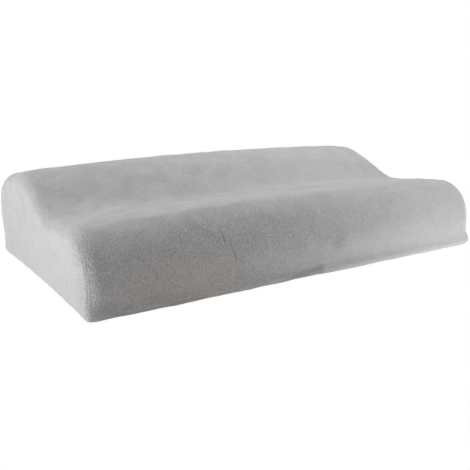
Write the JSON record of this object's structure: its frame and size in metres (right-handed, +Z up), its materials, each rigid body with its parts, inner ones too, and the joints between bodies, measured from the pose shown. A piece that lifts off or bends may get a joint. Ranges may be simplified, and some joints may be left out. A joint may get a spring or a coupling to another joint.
{
  "type": "memory foam pillow",
  "caption": "Contour bed pillow with a low and a high lobe: a moulded foam block in a sewn velour cover that closes with a zip along its back edge.",
  "frame": {"origin": "on the floor, under the middle of the pillow's box", "axes": "+X along the pillow's length, towards the closed end of its zip; -Y towards the low front lobe; +Z up"},
  "size_m": [0.5994, 0.4009, 0.1412],
  "materials": {
    "velour": "soft grey velour, short dense pile",
    "foam": "cream viscoelastic foam",
    "zip_tape": "woven grey zip tape",
    "zip_coil": "grey nylon coil",
    "zip_metal": "nickel-grey metal, satin"
  },
  "bodies": {
    "pillow": {"foam_core": "foam", "cover_top_panel": "velour", "cover_base_panel": "velour", "cover_left_end": "velour", "cover_right_end": "velour", "zip_upper_tape": "zip_tape", "zip_lower_tape": "zip_tape", "zip_upper_coil": "zip_coil", "zip_lower_coil": "zip_coil", "zip_closed_end_stop": "zip_metal", "zip_open_end_stop": "zip_metal"},
    "slider": {"zip_slider": "zip_metal"},
    "puller": {"zip_puller": "zip_metal"}
  },
  "joints": [
    {"name": "zip_travel", "type": "slide", "parent": "pillow", "child": "slider", "axis": [-1, 0, 0], "range_m": [0, 0.4927]},
    {"name": "puller_turn", "type": "hinge", "parent": "slider", "child": "puller", "pos_m": [0.24637, 0.199, 0.024], "axis": [0, 0, -1], "range_deg": [0, 180]}
  ]
}
